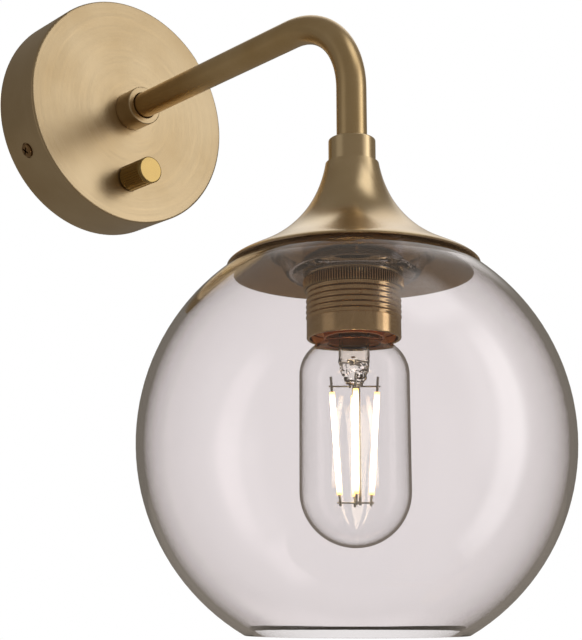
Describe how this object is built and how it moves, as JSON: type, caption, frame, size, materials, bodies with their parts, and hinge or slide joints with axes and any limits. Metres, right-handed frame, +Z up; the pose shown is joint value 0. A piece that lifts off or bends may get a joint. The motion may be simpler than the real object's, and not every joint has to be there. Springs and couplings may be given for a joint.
{
  "type": "globe wall sconce",
  "caption": "Wall sconce with a round cup and dimmer knob, bent tube arm, trumpet bell, threaded lampholder, smoked glass globe open below and a tubular filament lamp.",
  "frame": {"origin": "centre of the wall plate's back face, on the wall", "axes": "+Z up, +Y into the wall, so the arm leaves along -Y and +X is to the right for someone facing the wall"},
  "size_m": [0.176, 0.284, 0.3275],
  "materials": {
    "satin_brass": "satin, brushed",
    "tube_brass": "satin, darkened",
    "polished_brass": "polished",
    "copper_shell": "satin",
    "zinc_steel": "zinc plated",
    "black_rubber": "matte",
    "clear_washer": "clear",
    "white_plastic": "gloss",
    "black_plastic": "matte",
    "circuit_board": "matte",
    "terminal_brass": "bright",
    "holder_ceramic": "glazed",
    "smoked_glass": "polished",
    "clear_glass": "polished",
    "lamp_nickel": "polished",
    "lamp_black": "gloss",
    "filament": "lit",
    "brown_core": "gloss",
    "black_core": "gloss",
    "blue_core": "gloss",
    "earth_core": "gloss"
  },
  "bodies": {
    "base": {"wall_cover": "satin_brass", "bell": "satin_brass", "arm_collar": "satin_brass", "end_collar": "satin_brass", "arm_tube": "tube_brass", "holder_cap": "polished_brass", "holder_sleeve": "polished_brass", "cover_screws": "polished_brass", "holder_shell": "copper_shell", "wall_bracket": "zinc_steel", "bracket_tabs": "zinc_steel", "arm_nipple": "zinc_steel", "arm_nut": "zinc_steel", "arm_washer": "zinc_steel", "end_nipple": "zinc_steel", "bell_nut": "zinc_steel", "dimmer_washer": "zinc_steel", "dimmer_nut": "zinc_steel", "dimmer_bush": "zinc_steel", "terminal_screws": "zinc_steel", "terminal_fixing_screw": "zinc_steel", "earth_screw": "zinc_steel", "cable_grommet": "black_rubber", "terminal_block": "white_plastic", "dimmer_case": "black_plastic", "dimmer_lid": "black_plastic", "dimmer_board": "circuit_board", "terminal_barrels": "terminal_brass", "dimmer_tags": "terminal_brass", "centre_contact": "terminal_brass", "holder_terminals": "terminal_brass", "earth_tag": "terminal_brass", "holder_core": "holder_ceramic", "live_lead": "brown_core", "switched_lead": "black_core", "neutral_lead": "blue_core", "earth_lead": "earth_core"},
    "knob": {"dimmer_shaft": "zinc_steel", "dimmer_knob": "polished_brass"},
    "shade": {"glass_globe": "smoked_glass", "shade_washers": "clear_washer"},
    "ring": {"shade_ring": "polished_brass"},
    "lamp_stage": {"lamp_tip": "lamp_nickel"},
    "lamp": {"lamp_envelope": "clear_glass", "lamp_cap": "lamp_nickel", "lamp_insulator": "lamp_black", "lamp_driver": "circuit_board", "lamp_stem": "clear_glass", "lamp_filaments": "filament", "lamp_wires": "zinc_steel"}
  },
  "joints": [
    {"name": "knob_turn", "type": "hinge", "parent": "base", "child": "knob", "pos_m": [0, -0.04, -0.037], "axis": [0, -1, 0], "range_deg": [-150, 150]},
    {"name": "shade_lower", "type": "slide", "parent": "base", "child": "shade", "axis": [0, 0, -1], "range_m": [0, 0.012]},
    {"name": "ring_turn", "type": "hinge", "parent": "shade", "child": "ring", "pos_m": [0, -0.196, -0.125], "axis": [0, 0, -1], "range_deg": [0, 1880]},
    {"name": "lamp_travel", "type": "slide", "parent": "base", "child": "lamp_stage", "axis": [0, 0, -1], "range_m": [0, 0.02]},
    {"name": "lamp_turn", "type": "hinge", "parent": "lamp_stage", "child": "lamp", "pos_m": [0, -0.196, -0.14], "axis": [0, 0, -1], "range_deg": [0, 1985]}
  ],
  "couplings": [
    {"joint": "ring_turn", "follows": "shade_lower", "rad_per_m": 2731.8},
    {"joint": "lamp_turn", "follows": "lamp_travel", "rad_per_m": 1730.9}
  ]
}
